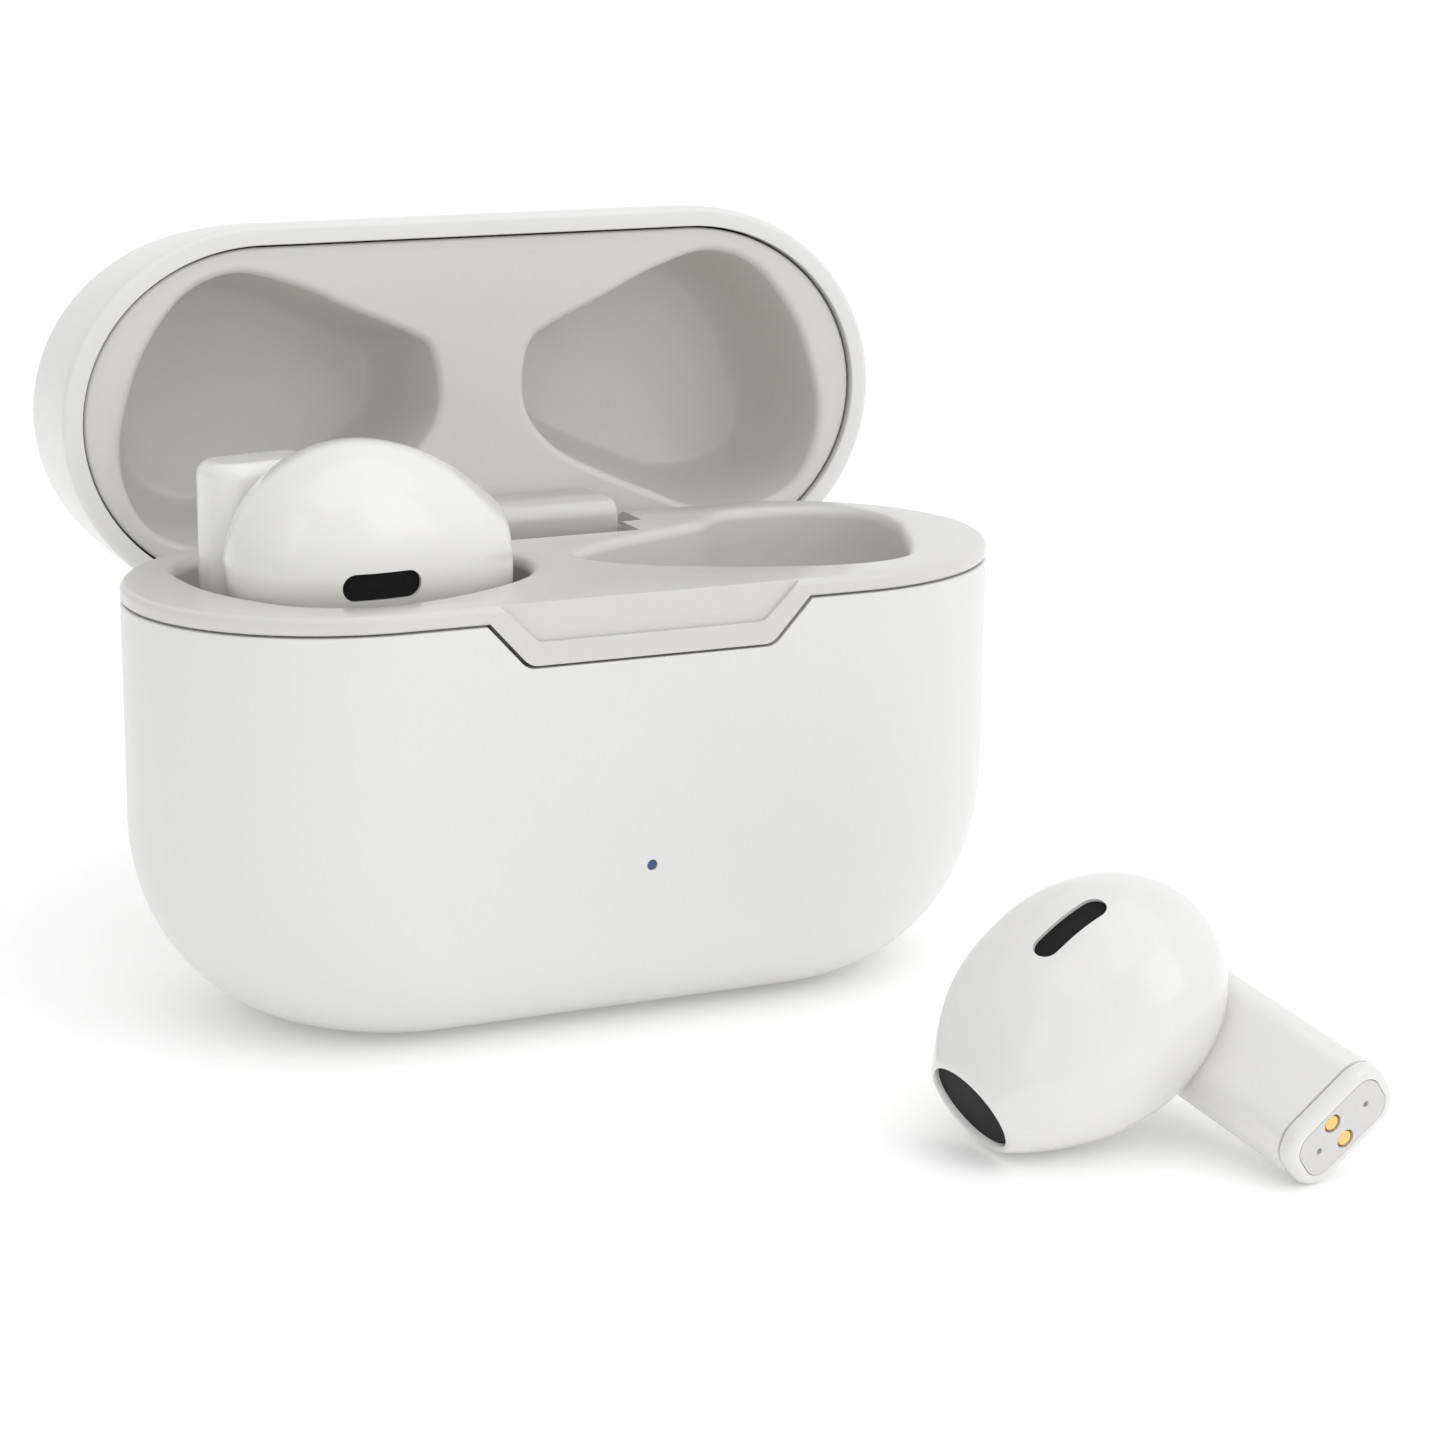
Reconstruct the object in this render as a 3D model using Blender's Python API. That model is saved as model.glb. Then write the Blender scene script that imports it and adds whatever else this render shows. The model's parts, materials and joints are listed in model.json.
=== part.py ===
"""Wireless earbuds case with both of its earbuds: the lid stands open on its hinge, the left
earbud sits in its socket and the right one lies on the table in front of the case.

Sizes are in millimetres, in one frame: X to the right, the front at -Y, Z up from the table.
"""

import math

import bmesh
import bpy
import numpy as np
from mathutils import Euler, Matrix, Vector

MM = 0.001
GAP = 0.3  # left between two pieces that touch on the real object
FINE = 0.2  # left at a seam that shows

# case, seen from above: straight sides and elliptical ends
HALF_W = 30.0
HALF_D = 13.24
END_SHAPE = 1.083  # length of an end's ellipse over its half depth
SEAM_Z = 28.3
FRAME_TOP = 29.4
SIDE_ROUND = (12.0, 13.8)  # bottom rounding at the ends, across and up
FRONT_ROUND = (7.6, 6.6)  # bottom rounding at the front and back
WALL = 1.5

# hinge
HINGE_Y = 11.2
HINGE_Z = 26.0
HINGE = (HINGE_Y, HINGE_Z)
OPEN_ANGLE = 92.0
ARM_HALF = 7.5
PIN_R = 0.75
SWING_R = 3.55  # the lid's rim passes this close to the hinge line
KNUCKLE = (7.8, 9.0)

# lid, drawn closed
LID_Z = FRAME_TOP + 0.25
LID_TOP = 44.6
LID_SIDE_ROUND = (15.0, 6.3)
LID_FRONT_ROUND = (3.9, 14.9)
LINER_HALF = (28.4, 11.62)
LID_WALL = 1.35
LINER_Z = 30.05
CUP_WALL = 1.0

# finger notch in the front of the case
NOTCH_MID = 0.7
NOTCH_TOP = 10.73
NOTCH_FOOT = 8.5
NOTCH_Z = 25.4
DISH_TOP = 10.5
DISH_FOOT = 7.85
DISH_Z = 26.9
LED_AT = (0.7, 11.5)

# sockets: outlines in the frame's top face, and how deep the bowls go
LEFT_SOCKET = (
    (-25.2, 5.5), (-25.3, 2.0), (-24.4, -2.2), (-22.0, -6.6), (-19.6, -8.7), (-16.3, -9.7), (-12.8, -9.2),
    (-8.8, -7.6), (-5.4, -5.3), (-3.8, -3.1), (-3.3, -0.4), (-4.0, 2.3), (-6.8, 4.6), (-10.3, 6.0),
    (-13.0, 7.3), (-15.6, 9.3), (-19.4, 9.5), (-23.2, 8.1),
)
RIGHT_SOCKET = (
    (25.2, 5.5), (25.3, 2.0), (24.4, -1.2), (22.1, -6.6), (20.0, -8.7), (16.4, -9.2), (11.8, -8.2),
    (7.0, -6.2), (3.5, -4.2), (1.4, -2.0), (0.8, 0.3), (3.0, 2.2), (6.9, 4.2), (10.3, 5.6),
    (13.0, 6.9), (15.6, 9.3), (19.4, 9.5), (23.2, 8.1),
)
BOWL_STEPS = ((30.2, 1.045), (29.4, 1.03), (29.0, 1.0), (25.5, 0.99), (22.4, 0.95), (21.0, 0.84))
BOWL_SHELL = ((28.8, 1.09), (25.5, 1.09), (22.0, 1.06), (19.8, 0.93))
POCKET = (4.5, 3.0, 1.6)  # half length, half width and corner of the well for a stem
POCKET_FLOOR = 14.2

# lid hollows: outline of the right one, the left one is its mirror
LID_HOLLOW = (
    (17.4, -10.0), (13.2, -8.9), (9.3, -7.1), (5.5, -5.4), (3.8, -4.2), (3.2, -1.6), (3.6, 1.0),
    (5.6, 3.4), (9.0, 5.3), (12.4, 6.8), (16.4, 8.4), (20.4, 8.6), (23.8, 7.3), (25.5, 4.8),
    (26.0, 1.6), (25.2, -2.2), (23.7, -5.6), (21.0, -8.8),
)
HOLLOW_STEPS = ((29.0, 1.03), (30.05, 1.03), (30.5, 1.0), (34.0, 0.97), (38.0, 0.9), (39.6, 0.84), (40.2, 0.76))
HOLLOW_SHELL = ((30.3, 1.075), (34.0, 1.05), (38.2, 0.99), (40.2, 0.93), (41.4, 0.82))

# earbud, drawn upright: stem down, nozzle at +X for the left one, slot at -Y
HEAD_BACK = 8.8
HEAD_Y = 6.7
HEAD_Z = 7.9
NOZZLE_X = 10.0
NOZZLE_R = (2.6, 3.65)
NOZZLE_SHIFT = (-1.9, -0.9)
NOZZLE_POWER = 2.2
NOZZLE_TILT = 15.0  # the mouth turns this far towards the slot
HEAD_WALL = 0.9
STEM_AT = (-4.1, 5.4)
STEM_HALF = (3.95, 2.4)
STEM_CORNER = 1.9
STEM_TOP = 6.3
STEM_END = -15.5
CAP_H = 1.0
SLOT_AT = (-1.4, -0.4)  # across and up from the middle of the head
SLOT_SIZE = (5.2, 1.75)
CONTACT_X = 0.3
CONTACT_Y = 0.9
CONTACT_R = 0.5

# where the two earbuds are
DOCKED_AT = (-15.1, -1.0, 30.45)
DOCKED_TURN = 10.0
PIN_TOP = DOCKED_AT[2] + STEM_END - 0.2
LOOSE_AT = (18.705, -37.87, 7.71)
LOOSE_X = (0.7862, 0.02, 0.6177)
LOOSE_Y = (0.5972, 0.2322, -0.7677)

PI = math.pi
NOZZLE_LEAN = math.tan(math.radians(NOZZLE_TILT))


# ---------------------------------------------------------------- scene helpers


def clear():
    for obj in list(bpy.data.objects):
        bpy.data.objects.remove(obj, do_unlink=True)


def new_collection(name):
    found = bpy.data.collections.new(name)
    bpy.context.scene.collection.children.link(found)
    return found


def material(name, colour, rough, metal=0.0):
    mat = bpy.data.materials.new(name)
    mat.use_nodes = True
    shader = mat.node_tree.nodes["Principled BSDF"]
    shader.inputs["Base Color"].default_value = (*colour, 1.0)
    shader.inputs["Roughness"].default_value = rough
    shader.inputs["Metallic"].default_value = metal
    mat.diffuse_color = (*colour, 1.0)
    return mat


def empty(name, at, turn=(0.0, 0.0, 0.0)):
    """A parent for the pieces that share one frame."""
    obj = bpy.data.objects.new(name, None)
    obj.empty_display_size = 5 * MM
    obj.location = Vector(at) * MM
    obj.rotation_euler = turn
    PARTS.objects.link(obj)
    return obj


def add(name, mesh, mat=None, parent=None, at=(0.0, 0.0, 0.0), smooth=True):
    """Puts a mesh in the scene, as a piece when it has a material and as a cutter when not."""
    obj = bpy.data.objects.new(name, mesh)
    obj.location = Vector(at) * MM
    obj.parent = parent
    if mat is None:
        CUTTERS.objects.link(obj)
        obj.display_type = "WIRE"
        obj.hide_render = True
    else:
        PARTS.objects.link(obj)
        mesh.materials.append(material(f"{name}_material", *mat))
    if smooth:
        mesh.shade_smooth()
        mesh.set_sharp_from_angle(angle=math.radians(35))
    return obj


def combine(obj, tool, operation):
    mod = obj.modifiers.new(tool.name[:40], "BOOLEAN")
    mod.operation = operation
    mod.solver = "EXACT"
    mod.object = tool
    return obj


def cut(obj, *tools):
    for tool in tools:
        combine(obj, tool, "DIFFERENCE")
    return obj


def join(obj, *tools):
    for tool in tools:
        combine(obj, tool, "UNION")
    return obj


# ---------------------------------------------------------------- outlines


def obround(half_w, half_d, steps=10):
    """A ring with straight front and back and elliptical ends."""
    end = min(END_SHAPE * half_d, half_w)
    ring = []
    for quarter in range(4):
        sx = 1 if quarter in (0, 3) else -1
        for k in range(steps + 1):
            a = (quarter + k / steps) * PI / 2
            ring.append((sx * (half_w - end) + end * math.cos(a), half_d * math.sin(a)))
    return ring


def rounded(half_x, half_y, corner, steps=6):
    ring = []
    for quarter in range(4):
        sx = 1 if quarter in (0, 3) else -1
        sy = 1 if quarter in (0, 1) else -1
        for k in range(steps + 1):
            a = (quarter + k / steps) * PI / 2
            ring.append((sx * (half_x - corner) + corner * math.cos(a), sy * (half_y - corner) + corner * math.sin(a)))
    return ring


def smooth_ring(points, between=3):
    """A closed Catmull-Rom curve through the points."""
    pts = np.array(points, float)
    before, after, far = np.roll(pts, 1, 0), np.roll(pts, -1, 0), np.roll(pts, -2, 0)
    ring = []
    for p0, p1, p2, p3 in zip(before, pts, after, far):
        for k in range(between):
            t = k / between
            q = 2 * p1 + (p2 - p0) * t + (2 * p0 - 5 * p1 + 4 * p2 - p3) * t**2
            q = q + (3 * p1 - p0 - 3 * p2 + p3) * t**3
            ring.append(tuple(q / 2))
    return ring


def scaled(ring, factor):
    mid = np.mean(np.array(ring), axis=0)
    return [tuple(mid + (np.array(p) - mid) * factor) for p in ring]


def moved(ring, dx, dy, turn=0.0):
    c, s = math.cos(turn), math.sin(turn)
    return [(c * x - s * y + dx, s * x + c * y + dy) for x, y in ring]


def mirrored(ring):
    return [(-x, y) for x, y in ring]


# ---------------------------------------------------------------- solids


def loft(name, rings, closed=True):
    """A closed skin over rings of equal count, each a list of points in millimetres."""
    mesh = bpy.data.meshes.new(name)
    bm = bmesh.new()
    rows = [[bm.verts.new(Vector(p) * MM) for p in ring] for ring in rings]
    count = len(rows[0])
    for low, high in zip(rows, rows[1:]):
        for k in range(count):
            n = (k + 1) % count
            bm.faces.new((low[k], low[n], high[n], high[k]))
    if closed:
        bm.faces.new(rows[0])
        bm.faces.new(rows[-1])
    bmesh.ops.remove_doubles(bm, verts=bm.verts, dist=1e-6)
    bmesh.ops.recalc_face_normals(bm, faces=bm.faces)
    bm.to_mesh(mesh)
    bm.free()
    return mesh


def stack(name, levels):
    """A loft over (ring, z) levels."""
    return loft(name, [[(x, y, z) for x, y in ring] for ring, z in levels])


def prism(name, ring, low, high):
    return stack(name, [(ring, low), (ring, high)])


def soft_prism(name, make_ring, low, high, edge):
    """A prism of rounded(...) outline with its top and bottom edges rounded off."""
    levels = []
    for k in range(4):
        a = k / 3 * PI / 2
        levels.append((make_ring(edge * (1 - math.sin(a))), low + edge * (1 - math.cos(a))))
    for k in range(4):
        a = k / 3 * PI / 2
        levels.append((make_ring(edge * (1 - math.cos(a))), high - edge * (1 - math.sin(a))))
    return stack(name, levels)


def box(name, low, high):
    """A plain block from corner to corner."""
    mesh = bpy.data.meshes.new(name)
    bm = bmesh.new()
    bmesh.ops.create_cube(bm, size=1.0)
    size = Vector([b - a for a, b in zip(low, high)]) * MM
    mid = Vector([(a + b) / 2 for a, b in zip(low, high)]) * MM
    bmesh.ops.scale(bm, vec=size, verts=bm.verts)
    bmesh.ops.translate(bm, vec=mid, verts=bm.verts)
    bm.to_mesh(mesh)
    bm.free()
    return mesh


def rod(name, radius, start, end, sides=32):
    """A cylinder between two points."""
    mesh = bpy.data.meshes.new(name)
    bm = bmesh.new()
    a, b = Vector(start) * MM, Vector(end) * MM
    turn = (b - a).to_track_quat("Z", "Y").to_matrix().to_4x4()
    place = Matrix.Translation((a + b) / 2) @ turn
    bmesh.ops.create_cone(
        bm, cap_ends=True, segments=sides, radius1=radius * MM, radius2=radius * MM, depth=(b - a).length, matrix=place
    )
    bm.to_mesh(mesh)
    bm.free()
    return mesh


def slab_x(name, outline, half):
    """An outline in the YZ plane, carried from -half to +half along X."""
    return loft(name, [[(x, y, z) for y, z in outline] for x in (-half, half)])


# ---------------------------------------------------------------- case body


def body_size(z, inset=0.0):
    """Half width and half depth of the lower body at a height."""
    half_w, half_d = HALF_W, HALF_D
    if z < SIDE_ROUND[1]:
        half_w -= SIDE_ROUND[0] * (1 - math.sqrt(1 - (1 - z / SIDE_ROUND[1]) ** 2))
    if z < FRONT_ROUND[1]:
        half_d -= FRONT_ROUND[0] * (1 - math.sqrt(1 - (1 - z / FRONT_ROUND[1]) ** 2))
    return half_w - inset, half_d - inset


BODY_LEVELS = (0.0, 0.08, 0.35, 0.9, 1.8, 3.1, 4.8, 7.0, 10.0, 13.8)


def body_mesh(name, inset, top):
    levels = []
    for z in BODY_LEVELS:
        levels.append((obround(*body_size(z, inset)), z * (1 - inset / 13.8) + inset))
    levels.append((obround(HALF_W - inset, HALF_D - inset), top))
    return stack(name, levels)


def trapezoid(name, top, foot, top_z, foot_z, front, back):
    """The finger notch: wide at the top, narrow at its foot, with soft lower corners."""
    ring = [(-top - 0.9, top_z), (-foot - 0.5, foot_z + 0.45), (-foot + 0.5, foot_z)]
    ring += [(foot - 0.5, foot_z), (foot + 0.5, foot_z + 0.45), (top + 0.9, top_z)]
    return loft(name, [[(x + NOTCH_MID, y, z) for x, z in ring] for y in (front, back)])


def make_shell():
    shell = add("case_shell", body_mesh("case_shell", 0.0, SEAM_Z - FINE), WHITE)
    hollow = add("shell_hollow", body_mesh("shell_hollow", WALL, SEAM_Z + 2))
    notch = add(
        "shell_notch",
        trapezoid("shell_notch", NOTCH_TOP, NOTCH_FOOT, SEAM_Z + 0.3, NOTCH_Z - 0.2, -15, -9.5),
        smooth=False,
    )
    gap = add("shell_hinge_gap", box("shell_hinge_gap", (-9.3, 9, 22.6), (9.3, 15, 31)), smooth=False)
    port = add("shell_port_hole", prism("shell_port_hole", moved(rounded(4.85, 1.95, 1.9), 0, 3.4), -1, 3))
    led = add("shell_led_hole", rod("shell_led_hole", 0.5, (LED_AT[0], -15, LED_AT[1]), (LED_AT[0], -10, LED_AT[1]), 20))
    button = add("shell_button_hole", rod("shell_button_hole", 2.6, (0, 10, 14), (0, 15, 14), 40))
    return cut(shell, hollow, notch, gap, port, led, button)


def make_frame():
    """The grey insert: top plate, skirt inside the shell, two socket bowls and the front tab."""
    low = SEAM_Z
    plate = [(obround(HALF_W - 0.12, HALF_D - 0.12), low), (obround(HALF_W, HALF_D), low + 0.12)]
    for k in range(4):
        a = k / 3 * PI / 2
        inset = 0.5 * (1 - math.cos(a))
        plate.append((obround(HALF_W - inset, HALF_D - inset), FRAME_TOP - 0.5 + 0.5 * math.sin(a)))
    frame = add("inner_frame", stack("inner_frame", plate), GREY)
    inside = WALL + 0.25
    skirt = add("frame_skirt", prism("frame_skirt", obround(HALF_W - inside, HALF_D - inside), 24.6, low + 0.5))
    tab = add(
        "frame_tab",
        trapezoid("frame_tab", NOTCH_TOP - 0.2, NOTCH_FOOT - 0.2, low + 0.5, NOTCH_Z, -HALF_D, -10.4),
        smooth=False,
    )
    inner = inside + 1.1
    under = add("frame_under", prism("frame_under", obround(HALF_W - inner, HALF_D - inner), 20, 27.9))
    join(frame, skirt, tab)
    cut(frame, under)
    for name, outline in (("left", LEFT_SOCKET), ("right", RIGHT_SOCKET)):
        ring = smooth_ring(outline)
        side = -1 if name == "left" else 1
        well = stem_well(side)
        bowl = add(f"{name}_bowl", stack(f"{name}_bowl", [(scaled(ring, f), z) for z, f in BOWL_SHELL][::-1]))
        wall = add(f"{name}_well", prism(f"{name}_well", well(0.9), POCKET_FLOOR - 1.2, 26))
        join(frame, bowl, wall)
    for name, outline in (("left", LEFT_SOCKET), ("right", RIGHT_SOCKET)):
        ring = smooth_ring(outline)
        side = -1 if name == "left" else 1
        well = stem_well(side)
        room = add(f"{name}_room", stack(f"{name}_room", [(scaled(ring, f), z) for z, f in BOWL_STEPS][::-1]))
        deep = add(f"{name}_deep", prism(f"{name}_deep", well(0.0), POCKET_FLOOR, 28))
        cut(frame, room, deep)
        for k in (-1, 1):
            x, y = contact_place(side, k)
            hole = f"{name}_pin_hole_{k + 1}"
            cut(frame, add(hole, rod(hole, 0.8, (x, y, 10), (x, y, 16), 20)))
    dish = add(
        "frame_dish",
        trapezoid("frame_dish", DISH_TOP, DISH_FOOT, FRAME_TOP + 0.6, DISH_Z, -15, -HALF_D + 0.35),
        smooth=False,
    )
    wide = add("frame_hinge_gap", box("frame_hinge_gap", (-9.3, 9, 20), (9.3, 15, 31)), smooth=False)
    deep = add("frame_arm_gap", box("frame_arm_gap", (-7.8, 5.8, 20), (7.8, 9.5, 31)), smooth=False)
    cut(frame, dish, wide, deep, swing_cutter())
    for k in (-1, 1):
        hole = f"frame_screw_hole_{k + 1}"
        cut(frame, add(hole, rod(hole, 0.75, (k * 11.2, 9.0, 24), (k * 11.2, 9.0, 28.7), 20)))
    return frame


def swing_cutter():
    """Takes off the back edge that the lid's rim would touch as it swings."""
    outline = [(HINGE_Y - 0.01, HINGE_Z + SWING_R)]
    for k in range(13):
        a = k / 12 * math.radians(75)
        outline.append((HINGE_Y + SWING_R * math.sin(a), HINGE_Z + SWING_R * math.cos(a)))
    outline += [(HINGE_Y + 5, HINGE_Z + 1), (HINGE_Y + 5, HINGE_Z + 6), (HINGE_Y - 0.01, HINGE_Z + 6)]
    return add("frame_swing", slab_x("frame_swing", outline, 40), smooth=False)


def docked_point(side, x, y):
    """A point of a seated earbud, from its own frame to the case's."""
    turn = math.radians(DOCKED_TURN) * -side
    c, s = math.cos(turn), math.sin(turn)
    x = -side * x
    return side * -DOCKED_AT[0] + c * x - s * y, DOCKED_AT[1] + s * x + c * y


def stem_well(side):
    mid = docked_point(side, *STEM_AT)
    turn = math.radians(DOCKED_TURN) * -side

    def ring(extra):
        return moved(rounded(POCKET[0] + extra, POCKET[1] + extra, POCKET[2] + extra), *mid, turn)

    return ring


def contact_spot(k):
    """Where a charging contact is on the stem's end, in the earbud's own frame."""
    return STEM_AT[0] + CONTACT_X - 0.1 * k, STEM_AT[1] + k * CONTACT_Y


def contact_place(side, k):
    return docked_point(side, *contact_spot(k))


def make_hinge():
    bracket = add("hinge_bracket", box("hinge_bracket", (-8.9, 7.8, 19.6), (8.9, 10.0, 21.0)), STEEL, smooth=False)
    for k in (-1, 1):
        near, far = sorted((k * KNUCKLE[0], k * KNUCKLE[1]))
        web = f"bracket_web_{k + 1}"
        eye = f"bracket_eye_{k + 1}"
        ear = f"bracket_ear_{k + 1}"
        side = sorted((k * 8.7, k * 12.8))
        join(
            bracket,
            add(web, box(web, (near, 7.85, 20.0), (far, 11.6, 27.0)), smooth=False),
            add(eye, rod(eye, 1.85, (near, *HINGE), (far, *HINGE))),
            add(ear, box(ear, (side[0], 7.9, 26.0), (side[1], 9.95, 27.3)), smooth=False),
        )
        hole = f"bracket_screw_hole_{k + 1}"
        cut(bracket, add(hole, rod(hole, 0.8, (k * 11.2, 9.0, 25), (k * 11.2, 9.0, 29), 20)))
    cut(bracket, add("bracket_pin_hole", rod("bracket_pin_hole", 0.95, (-12, *HINGE), (12, *HINGE))))
    add("hinge_pin", rod("hinge_pin", PIN_R, (-8.7, *HINGE), (8.7, *HINGE)), CHROME)
    for k, name in ((-1, "left"), (1, "right")):
        screw = add(f"hinge_screw_{name}", rod("screw_head", 1.15, (k * 11.2, 9.0, 24.9), (k * 11.2, 9.0, 25.75)), STEEL)
        shank = f"screw_shank_{name}"
        slot = f"screw_slot_{name}"
        join(screw, add(shank, rod(shank, 0.6, (k * 11.2, 9.0, 25.6), (k * 11.2, 9.0, 28.4), 20)))
        cut(screw, add(slot, box(slot, (k * 11.2 - 0.9, 8.85, 24.5), (k * 11.2 + 0.9, 9.15, 25.2)), smooth=False))


def battery_ring(shrink):
    return moved(rounded(13.0 - shrink, 5.4 - shrink, 2.0 - shrink * 0.5), 0, -2.9)


def make_inside():
    """The electronics in the lower body."""
    add("battery", soft_prism("battery", battery_ring, 7.9, 18.4, 0.6), FOIL)
    add("main_pcb", box("main_pcb", (-12, 5.4, 2.4), (12, 6.2, 18.6)), BOARD, smooth=False)
    port = add("usb_c_port", prism("usb_c_port", moved(rounded(4.47, 1.6, 1.55), 0, 3.4), 0.25, 7.4), STEEL)
    mouth = add("port_mouth", prism("port_mouth", moved(rounded(4.15, 1.28, 1.25), 0, 3.4), -1, 6.2))
    tongue = add("port_tongue", box("port_tongue", (-3.3, 3.05, 0.9), (3.3, 3.75, 6.6)), smooth=False)
    cut(port, mouth)
    join(port, tongue)
    x, z = LED_AT
    add("led_chip", box("led_chip", (x - 0.8, -9.7, z - 0.5), (x + 0.8, -8.9, z + 0.5)), YELLOW, smooth=False)
    pipe = add("light_pipe", rod("light_pipe", 0.3, (x, -13.1, z), (x, -11.2, z), 20), CLEAR)
    join(pipe, add("pipe_foot", rod("pipe_foot", 0.8, (x, -11.4, z), (x, -10.0, z), 20)))
    button = add("pair_button", rod("button_cap", 2.3, (0, 11.5, 14), (0, 13.15, 14), 40), WHITE, at=(0, 0, 0))
    join(button, add("button_stem", rod("button_stem", 1.1, (0, 8.75, 14), (0, 11.8, 14), 24)))
    add("tact_switch", box("tact_switch", (-1.75, 6.45, 12.25), (1.75, 8.2, 15.75)), BLACK, smooth=False)
    add("latch_magnet_case", box("latch_magnet_case", (-2.5, -9.9, 24.9), (2.5, -7.6, 27.5)), CHROME, smooth=False)
    for side, name in ((-1, "left"), (1, "right")):
        magnet = rod("bud_magnet", 2.0, (side * 10.6, -0.6, 18.75), (side * 10.6, -0.6, 19.45), 28)
        add(f"{name}_bud_magnet", magnet, CHROME)
        well = stem_well(side)
        block = add(f"{name}_pin_block", prism("pin_block", scaled(well(0.0), 0.72), 7.4, 9.4), BLACK)
        for k, at in ((-1, "front"), (1, "back")):
            x, y = contact_place(side, k)
            pin = add(f"{name}_charge_pin_{at}", rod("pin_head", 0.45, (x, y, 9.95), (x, y, PIN_TOP), 20), GOLD)
            flange = f"{name}_pin_flange_{at}"
            join(pin, add(flange, rod(flange, 0.72, (x, y, 9.95), (x, y, 10.7), 20)))


# ---------------------------------------------------------------- lid


def lid_size(up, inset=0.0):
    """Half width and half depth of the lid, measured down from its top."""
    half_w, half_d = HALF_W, HALF_D
    if up < LID_SIDE_ROUND[1]:
        half_w -= LID_SIDE_ROUND[0] * (1 - math.sqrt(1 - (1 - up / LID_SIDE_ROUND[1]) ** 2))
    if up < LID_FRONT_ROUND[1]:
        half_d -= LID_FRONT_ROUND[0] * (1 - math.sqrt(1 - (1 - up / LID_FRONT_ROUND[1]) ** 2))
    return half_w - inset, half_d - inset


LID_LEVELS = (0.0, 0.06, 0.3, 0.8, 1.6, 2.8, 4.4, 6.3, 10.0)


def lid_mesh(name, inset, rim):
    levels = []
    for up in LID_LEVELS:
        levels.append((obround(*lid_size(up, inset)), LID_TOP - inset - up * (1 - inset / 15)))
    levels.append((obround(HALF_W - inset, HALF_D - inset), rim))
    return stack(name, levels[::-1])


def from_hinge(mesh):
    mesh.transform(Matrix.Translation(Vector((0, -HINGE_Y, -HINGE_Z)) * MM))
    return mesh


def lid_part(name, mesh, mat=None, smooth=True):
    return add(name, from_hinge(mesh), mat, LID, smooth=smooth)


def make_lid():
    shell = lid_part("lid_shell", lid_mesh("lid_shell", 0.0, LID_Z), WHITE)
    cut(shell, lid_part("lid_hollow", lid_mesh("lid_hollow", LID_WALL, LID_Z - 2)))
    half_w, half_d = LINER_HALF
    rim = [(obround(half_w - 0.15, half_d - 0.15), LINER_Z), (obround(half_w, half_d), LINER_Z + 0.15)]
    rim.append((obround(half_w - 0.3, half_d - 0.3), LINER_Z + 1.2))
    liner = lid_part("lid_liner", stack("lid_liner", rim), GREY)
    for side, name in ((1, "right"), (-1, "left")):
        ring = smooth_ring(LID_HOLLOW)
        if side < 0:
            ring = mirrored(ring)
        cup = stack(f"lid_cup_{name}", [(scaled(ring, f), z) for z, f in HOLLOW_SHELL])
        join(liner, lid_part(f"lid_cup_{name}", cup))
    for side, name in ((1, "right"), (-1, "left")):
        ring = smooth_ring(LID_HOLLOW)
        if side < 0:
            ring = mirrored(ring)
        room = stack(f"lid_room_{name}", [(scaled(ring, f), z) for z, f in HOLLOW_STEPS])
        cut(liner, lid_part(f"lid_room_{name}", room))
    lid_part("lid_magnet", box("lid_magnet", (-2.3, -9.6, 31.6), (2.3, -7.6, 34.0)), CHROME, smooth=False)
    make_arm()


def make_arm():
    """The bar that carries the lid on the hinge pin."""
    r = 1.2
    front, foot, back, top = -4.9, -2.4, 1.9, 3.8
    outline = [(0.2, top), (front + 0.4, top), (front, top - 0.4)]
    for k in range(9):
        a = PI + k / 8 * PI / 2
        outline.append((front + r + r * math.cos(a), foot + r + r * math.sin(a)))
    outline += [(back - 0.6, foot), (back, foot + 0.6), (back, 3.35), (0.2, 3.35)]
    mesh = slab_x("hinge_arm", outline, ARM_HALF)
    arm = add("hinge_arm", mesh, GREY, LID)
    cut(arm, add("arm_pin_hole", rod("arm_pin_hole", 0.95, (-10, 0, 0), (10, 0, 0)), None, LID))


# ---------------------------------------------------------------- earbuds


def egg(x, half_y, half_z, mid_y, mid_z, lean, count):
    """One elliptical section of the head, leaning by a share of its half depth."""
    ring = []
    for n in range(count):
        a = 2 * PI * n / count
        across = half_y * math.cos(a)
        ring.append((x + lean * across, mid_y + across, mid_z + half_z * math.sin(a)))
    return ring


def head_rings(inset, count=30, steps=8):
    """Sections of the egg-shaped head from its round back to the nozzle, for the left earbud."""
    rings = []
    for k in range(1, steps + 1):
        a = k / steps * PI / 2
        x = -(HEAD_BACK - inset) * math.cos(a)
        size = math.sin(a)
        rings.append((x, (HEAD_Y - inset) * size, (HEAD_Z - inset) * size, 0.0, 0.0, 0.0))
    for k in range(1, steps + 1):
        t = k / steps
        fall = 1 - t**NOZZLE_POWER
        half_y = NOZZLE_R[0] + (HEAD_Y - NOZZLE_R[0]) * fall - inset
        half_z = NOZZLE_R[1] + (HEAD_Z - NOZZLE_R[1]) * fall - inset
        mid_y, mid_z = NOZZLE_SHIFT[0] * t**1.5, NOZZLE_SHIFT[1] * t**1.5
        rings.append((t * (NOZZLE_X - inset), half_y, half_z, mid_y, mid_z, NOZZLE_LEAN * t**3))
    return [egg(*ring, count) for ring in rings]


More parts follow.
